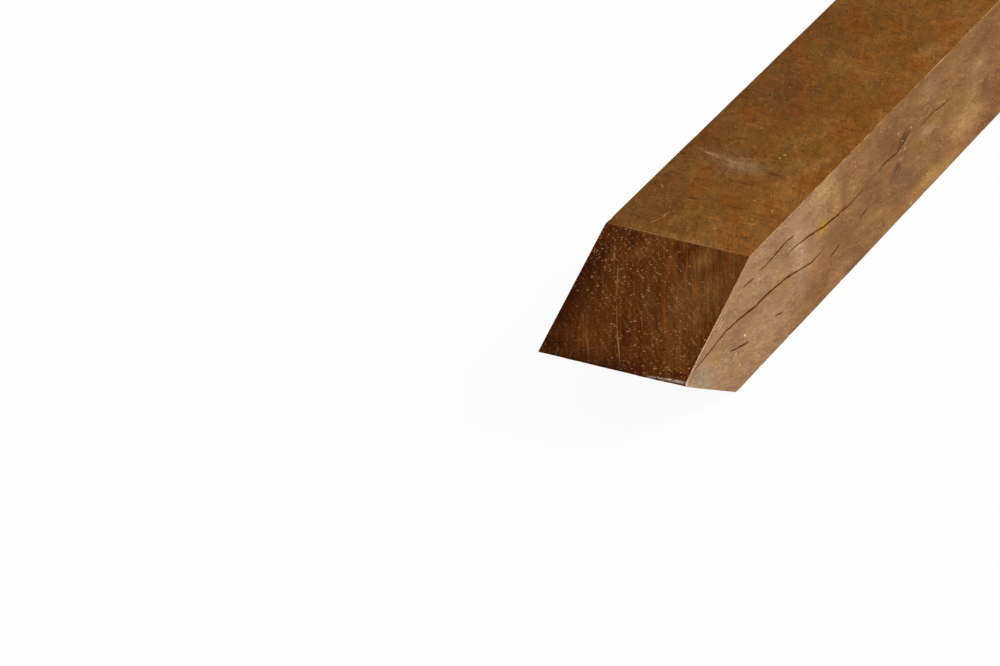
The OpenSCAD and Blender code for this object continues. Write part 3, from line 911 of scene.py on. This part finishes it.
sawnSide["marks"] = [
    (26, 11.4, 24, 56, 1.8, 0.7, 0.6, "d2b08c", 0.7),
    (44, 12.2, 24, 11, 0.9, 0.7, 0.1, "d6b692", 0.8),
    (41, 13.6, 24, 8, 0.9, 0.7, 0.1, "d6b692", 0.8),
    (48, 17.6, 24, 9, 0.9, 0.7, 0.2, "ceac88", 0.7),
    (3, -0.6, -30, 11, 4, 1, 0.3, "d8ccbc", 0.75),
    (8, 2.4, 24, 16, 1.6, 0.8, 0.4, "d6c0a6", 0.7),
    (10, -3.4, 32, 9, 1, 0.8, 0.3, "c6b09a", 0.6),
    (15, -6.4, 40, 7, 0.9, 0.8, 0.3, "c2aa92", 0.6),
    (9, -4.4, -24, 22, 3, 0.9, 0.2, "c0aa96", 0.7),
    (179, 8.4, -76, 12, 10, 0.9, 0.2, "ae8028", 0.95),
    (180.5, 15, -76, 13, 6, 1, 0.2, "a07a3a", 0.7),
    (171, 6, -12, 16, 5, 1, 0.2, "a47838", 0.5),
    (289.5, 11.2, 18, 31, 12, 0.9, 0.3, "6a4824", 0.85),
    (290.5, 10.6, 18, 26, 9.5, 0.8, 0.5, "5a3a18", 0.9),
    (293.5, 9.2, 18, 22, 1.3, 0.6, 0.2, "3e240e", 0.8),
    (286.5, 12.6, 30, 9, 1, 0.6, 0, "422810", 0.8),
    (296, 13.4, 26, 8, 0.9, 0.6, 0, "a07a52", 0.7),
    (289, 10.2, -20, 6, 1, 0.6, 0, "9c7650", 0.75),
    (295, 7.8, 18, 18, 1, 0.7, 0.3, "b48c66", 0.7),
    (284, 7.6, 15, 8, 1.4, 0.7, 0.1, "462a10", 0.7),
    (283, -3, 25, 20, 6, 1, 0.3, "5c422a", 0.7),
    (293.2, 4.6, 20, 6, 1.3, 0.7, 0, "ba946c", 0.8),
    (288, 1.2, 20, 6, 1.2, 0.7, 0, "ba946c", 0.8),
    (291.5, -0.6, 30, 4.5, 1.1, 0.7, 0, "ba946c", 0.8),
    (286.6, 5.4, 15, 5, 1.1, 0.7, 0, "b28c64", 0.7),
    (289.5, 3.1, 20, 7, 1.1, 0.7, 0, "4e301a", 0.8),
    (285, -0.8, 25, 8, 1.4, 0.7, 0, "50341e", 0.8),
    (294.5, 1.6, 25, 5, 0.9, 0.7, 0, "54361e", 0.7),
    (289, -5.4, 30, 8, 1.5, 0.8, 0.2, "543a26", 0.6),
    (314, 12, 10, 10, 0.8, 0.7, 0.3, "b28c68", 0.7),
    (321, 15.4, 8, 11, 0.8, 0.7, 0.3, "b28c68", 0.7),
    (327, 11.4, 12, 10, 0.8, 0.7, 0.3, "b6906c", 0.7),
    (333, 16, 5, 10, 0.7, 0.7, 0.3, "b08a66", 0.7),
    (318, 6.4, 5, 9, 0.8, 0.7, 0.3, "b48e68", 0.7),
    (339, 12, 0, 12, 0.8, 0.7, 0.3, "ae8862", 0.6),
    (247, 7, 5, 22, 0.5, 0.6, 0.2, "623c20", 0.75),
    (298, 6.5, 2, 28, 0.45, 0.6, 0.3, "623c20", 0.6),
    (240, -7.5, 10, 12, 1.6, 0.8, 0.2, "5c3818", 0.7),
    (254, -7.8, 0, 14, 1.1, 0.8, 0.2, "603e20", 0.65),
    (139.9, -30.5, -20, 4, 3, 0.9, 0.1, "c4803a", 0.85),
    (365.5, -30.7, 20, 5, 3, 0.8, 0.1, "b87c3a", 0.7),
    (79.5, -7.2, -30, 3.2, 1.8, 0.6, 0, "e8d0ac", 0.95),
    (69, -12.6, -30, 2.4, 1.6, 0.6, 0, "d4b692", 0.85),
    (75.8, -20.5, 0, 2.4, 1.5, 0.6, 0, "d0b08a", 0.8),
    (272, -26, -55, 13, 1.1, 0.6, 0, "603e20", 0.8),
    (300, 13, -30, 4, 1.5, 0.7, 0, "c8a074", 0.7),
    (281, 17, -15, 4, 1.4, 0.7, 0, "c49c70", 0.7),
    (353, -13, -30, 6, 1.2, 0.8, 0, "ba9058", 0.6),
    (313, -31.5, 0, 7, 3, 0.9, 0, "c0aa7a", 0.6),
    (344, 9.5, -14, 24, 1.4, 0.9, 0.2, "b2864c", 0.7),
    (125, -15.2, -12, 20, 1, 0.8, 0.2, "885a36", 0.7),
]


def sideColours(tree, face, places, made):
    # The near colours give way to the far ones along a leaning line
    place = separate(tree, places["ragged"])
    leant = maths(tree, "MULTIPLY_ADD", place[1], -face["fadeLean"], place[0])
    near, far = [ramp(tree, made["zones"], face[key]) for key in ("ramp", "farRamp")]
    return mixColour(tree, mapRange(tree, leant, *face["fade"]), near, far)


# Cuts of the point: u runs across the post and v up the slope of the cut

cutPoint = {
    "axes": [(1, 0, 0), (0, 1 / math.cos(cutAngle), 0), (0, 0, 1)],
    "places": {"ragged": (2, 1.2), "curly": (0.8, 0.7)},
    "streaks": {
        "zones": ("even", 68, 60, 18, 2, 4.7),
        "bands": ("even", 68, 50, 3.4, 3, 1.9),
        "clumps": ("even", 68, 7, 4, 2, 7.3),
        "strokes": ("even", 68, 14, 1, 2, 6.3),
        "grain": ("even", 68, 1.8, 0.7, 2, 2.4),
        "hues": ("even", 68, 12, 3.4, 2, 8.2),
    },
    "flecks": {
        "lines": ("even", 68, 20, 1.7, 0.16, 0.4, 0.7),
        "pores": ("curly", -48, 2.4, 0.66, 0.24, 0.47, 3.9),
        # pits: painted shade, dark flecks for the shaded sides of the pores
        "pits": ("curly", -48, 1.8, 0.8, 0.34, 0.4, 9.1),
        "rare": ("curly", -48, 4.6, 2, 0.13, 0.32, 5.5),
    },
    # a slanting belt from the upper left, along which the pores crowd: its direction across, its middle,
    # distances from there where the crowd and the rare ones are thinnest and thickest, and the least of them
    "belt": {"across": (0.788, 0.616, 0), "middle": 26, "crowd": (32, 6), "rare": (38, 14), "least": 0.3},
    "ramp": [(0.3, "562608"), (0.45, "60300c"), (0.57, "683710"), (0.75, "744418")],
    "tints": ("ffecce", "f8fff6"),
    "masks": {"zoneBreak": ("bands", 0.35, 0.6), "markBreak": ("strokes", 0.35, 0.6),
              "edgeBreak": ("strokes", 0.35, 0.6), "clumped": ("clumps", 0.42, 0.56, 0.25)},
    "levels": [("bands", 0.8, 1.2), ("strokes", 0.74, 1.26), ("clumps", 0.88, 1.12), ("grain", 0.8, 1.2)],
    "held": {"pores": "crowd", "pits": "crowd", "rare": "nearBelt"},
    # the pits' dab, 3a1a08, is that painted shade
    "dabs": [("lines", 0.4, "966636"), ("pits", 0.5, "3a1a08"), ("pores", 0.85, "d4a26c"),
             ("rare", 0.8, "d4a26c")],
    "edge": (0.3, "a07448"),
    "bumps": [("strokes", 0.1), ("bands", 0.08), ("pores", -0.06)],
    "roughness": ("bands", 0.7, 0.85),
    "marksOn": "even", "flecksLast": True,
}
# Painted shadow: the rows at u -36, -31, -29 and -22 darken the left side of the cut, most of all along its
# left edge, as the shadow of a neighbouring post
cutPoint["zones"] = [
    (-36, 40, 88, 150, 36, 1, 0, "361202", 0.95),
    (-6, -1, 0, 110, 34, 1, 0, "3e1a07", 0.85),
    (24, 52, 80, 84, 46, 1, 0, "784b1f", 0.9),
    (13, 50, 100, 60, 9, 1, 0.2, "7c5025", 0.5),
    (1, 77, 102, 14, 3, 0.9, 0.1, "3e1a0a", 0.7),
    (6, 55, 100, 22, 3, 1, 0.3, "48220c", 0.6),
    (-11, 73, 60, 36, 16, 0.9, 0.2, "784a20", 0.75),
    (1, 43, 100, 26, 10, 1, 0.2, "6e4622", 0.6),
    (15, 74, 80, 26, 16, 1, 0.1, "845626", 0.85),
    (-2, 20, 95, 26, 16, 1, 0.1, "4a240c", 0.6),
    (30, 16, 70, 30, 14, 1, 0.1, "6c3e1c", 0.5),
    (-31, 6, 10, 30, 13, 1, 0.1, "341202", 0.7),
    (-14, 27, 95, 46, 16, 1, 0.1, "48220a", 0.4),
    (-29, 67, 80, 20, 12, 1, 0.1, "361606", 0.4),
    (-22, 38, 93, 96, 17, 1, 0.1, "401c07", 0.4),
    (-4, 56, 95, 30, 12, 1, 0.1, "7a4c22", 0.3),
]
cutPoint["marks"] = [
    (-17, 51, -71, 28, 0.8, 0.6, 0.3, "96683a", 0.8),
    (-24.5, 66, -71, 22, 0.8, 0.7, 0.3, "8c5e32", 0.7),
    (-9.5, 31, -68, 18, 0.7, 0.6, 0.2, "966838", 0.75),
    (-2, 14, -65, 28, 0.9, 0.6, 0.1, "a27242", 0.9),
    (-15.5, 10, -62, 22, 0.7, 0.6, 0.3, "8c5e32", 0.6),
    (3, 30, -66, 14, 0.7, 0.6, 0.2, "926234", 0.7),
    (25.5, 54, -70, 26, 0.6, 0.6, 0.3, "926434", 0.6),
    (28, 60, -70, 40, 0.6, 0.6, 0.4, "8c6032", 0.5),
    (10, 68, -70, 30, 0.6, 0.6, 0.4, "8c6030", 0.6),
    (29, 36, -70, 20, 0.6, 0.6, 0.3, "8a5e30", 0.5),
    (-22, 46, -68, 22, 0.6, 0.6, 0.4, "7e522a", 0.5),
    (3, 76, -68, 18, 1.3, 0.7, 0.2, "381808", 0.8),
    (14, 40, -68, 30, 0.9, 0.7, 0.3, "4a2810", 0.5),
    (-20, 70, -68, 20, 0.9, 0.7, 0.3, "3e200c", 0.6),
    (29, 5.2, 12, 14, 4.4, 0.9, 0.1, "4e1409", 0.9),
    (10, 3.4, 0, 14, 6, 1, 0.1, "541e0e", 0.7),
    (29.5, 1.9, 9, 13, 1.7, 0.8, 0.4, "e6dccc", 0.9),
    (21, 0.7, 3, 12, 0.9, 0.7, 0.6, "d2c0a8", 0.8),
    (0, 81.8, 0, 90, 1.2, 0.7, 0.6, "82542c", 0.6),
]


def cutColours(tree, face, places, made):
    # Masks for the pores, from the distance off the middle of the belt
    belt = face["belt"]
    across = vectorMaths(tree, "DOT_PRODUCT", places["even"], belt["across"])["Value"]
    off = maths(tree, "ABSOLUTE", maths(tree, "SUBTRACT", across, belt["middle"]))
    made["crowd"] = times(tree, mapRange(tree, off, *belt["crowd"], belt["least"]), made["clumped"])
    made["nearBelt"] = mapRange(tree, off, *belt["rare"], belt["least"])
    return ramp(tree, made["zones"], face["ramp"])


# Sawn head: u runs across the post and v up

sawnHead = {
    "axes": [(1, 0, 0), (0, 0, 1), (0, 1, 0)],
    "places": {"ragged": (2.5, 0.9)},
    "streaks": {
        "zones": ("even", 52, 60, 16, 2, 4.2),
        "bands": ("even", 52, 50, 3, 3, 1.2),
        "grain": ("even", 52, 2, 0.8, 2, 6.8),
    },
    "flecks": {"pores": ("ragged", 52, 2.2, 1.6, 0.26, 0.7, 1.1)},
    "ramp": [(0.28, "422614"), (0.45, "52321c"), (0.6, "5e3c24"), (0.8, "704c30")],
    "shares": {"grain": 0.3, "bands": 0.35, "zones": 0.35},     # of each pattern in the ramp's value
    "masks": {"edgeBreak": ("grain", 0.35, 0.6)},
    "dabs": [("pores", 0.6, "b28a62")],
    "edge": (0.5, "96704c"),
    "bumps": [("grain", 0.12), ("bands", 0.05), ("pores", -0.06)],
    "roughness": ("bands", 0.75, 0.9),
    "zones": [], "tints": [], "levels": [], "held": {}, "marks": [], "marksOn": "even", "flecksLast": False,
}


def headColours(tree, face, places, made):
    # The ramp's value is the sum of a share of each of three patterns
    tone = 0.0
    for name, share in face["shares"].items():
        tone = maths(tree, "MULTIPLY_ADD", made[name], share, tone)
    return ramp(tree, tone, face["ramp"])


tornFibre = {
    "size": 2.0, "seed": 0.4,       # of its one pattern
    "ramp": [(0.3, "a07e5e"), (0.5, "ceb89c"), (0.7, "e4d8c6")],
    "edge": "ac8054",               # along the edge of the cut
    "edgeFrom": (4, 20),            # distances from the tip over which the bleached colours give way to it
}


def tornFibreMaterial():
    # Bleached at the tip and the colour of the wood along the edge of the cut
    material, tree, shader = newMaterial("tornFibre")
    vector = faceVector(tree, [(1, 0, 0), (0, 1, 0), (0, 0, 1)])
    inputs = {"Vector": vector, "Along": tornFibre["size"], "Across": tornFibre["size"], "Detail": 1.0,
              "Seed": tornFibre["seed"]}
    tone = addNode(tree, "ShaderNodeGroup", inputs, node_tree=streaks).outputs[0]
    given = mapRange(tree, separate(tree, vector)[1], *tornFibre["edgeFrom"])
    base = mixColour(tree, given, ramp(tree, tone, tornFibre["ramp"]), colour(tornFibre["edge"]))
    tree.links.new(base, shader.inputs["Base Color"])
    shader.inputs["Roughness"].default_value = 0.8
    return material


for name, face, firstColours in (("sawnTop", sawnTop, topColours), ("sawnSide", sawnSide, sideColours),
                                 ("cutPoint", cutPoint, cutColours), ("sawnHead", sawnHead, headColours)):
    postWood.data.materials.append(woodMaterial(name, face, firstColours))
tornFringe.data.materials.append(tornFibreMaterial())
print("materials made")


# Floor, lights and camera

studio = {
    "floorSize": 30.0,              # metres
    "floorColour": 0.9,
    "floorGlow": 0.95,              # share of plain white in what the camera sees of the floor
    "ambient": 0.45,
    "sunTravel": (-0.95, -0.88, -1.0),
    "sunStrength": 2.85,
    "sunSoftness": math.radians(25),
}

camera = {
    "aim": (-0.049255, -0.512802, 0.044685),    # metres
    "distance": 3.56702,                        # metres
    "azimuth": 20.1555,                         # degrees
    "elevation": 24.893,
    "roll": 4.7003,
    "lens": 288.0,
}


def makeFloor():
    # One flat quad at the post's lowest level
    half = studio["floorSize"] / 2
    mesh = bpy.data.meshes.new("floor")
    corners = [(-half, -half, 0), (half, -half, 0), (half, half, 0), (-half, half, 0)]
    mesh.from_pydata(corners, [], [(0, 1, 2, 3)])
    material, tree, shader = newMaterial("paleFloor", 0.0)
    shader.inputs["Base Color"].default_value = [studio["floorColour"]] * 3 + [1]
    shader.inputs["Roughness"].default_value = 0.95
    seen = addNode(tree, "ShaderNodeLightPath").outputs["Is Camera Ray"]
    glow = addNode(tree, "ShaderNodeEmission", {"Color": (1, 1, 1, 1), "Strength": 1.0})
    mix = addNode(tree, "ShaderNodeMixShader", {0: times(tree, seen, studio["floorGlow"]),
                                                1: shader.outputs[0], 2: glow.outputs[0]})
    tree.links.new(mix.outputs[0], tree.nodes["Material Output"].inputs["Surface"])
    mesh.materials.append(material)
    floor = newObject("floor", mesh)


def makeLight():
    world = bpy.data.worlds.new("studio")
    bpy.context.scene.world = world
    world.use_nodes = True
    tree = world.node_tree
    background = tree.nodes["Background"]
    background.inputs["Color"].default_value = (1, 1, 1, 1)
    seen = addNode(tree, "ShaderNodeLightPath").outputs["Is Camera Ray"]
    strength = mapRange(tree, seen, 0.0, 1.0, studio["ambient"], 1.0, "LINEAR")
    tree.links.new(strength, background.inputs["Strength"])
    sun = bpy.data.lights.new("key", "SUN")
    sun.energy = studio["sunStrength"]
    sun.angle = studio["sunSoftness"]
    key = newObject("key", sun)
    key.rotation_mode = "QUATERNION"
    key.rotation_quaternion = Vector(studio["sunTravel"]).to_track_quat("-Z", "Y")


def makeCamera():
    # The camera looks level along +Y, then tips down by the elevation, turns by the azimuth and rolls
    data = bpy.data.cameras.new("camera")
    data.sensor_width = 36.0
    data.lens = camera["lens"]
    data.clip_start, data.clip_end = 0.1, 100.0
    viewer = newObject("camera", data)
    tipped = Matrix.Rotation(math.radians(90 - camera["elevation"]), 4, "X")
    turned = Matrix.Rotation(math.radians(camera["azimuth"]), 4, "Z") @ tipped
    rolled = turned @ Matrix.Rotation(math.radians(camera["roll"]), 4, "Z")
    back = rolled @ Vector((0, 0, camera["distance"]))
    viewer.matrix_world = Matrix.Translation(Vector(camera["aim"]) + back) @ rolled
    bpy.context.scene.camera = viewer


makeFloor()
makeLight()
makeCamera()
bpy.context.scene.view_settings.view_transform = "Standard"
print("floor, lights and camera made")

bpy.context.view_layer.update()
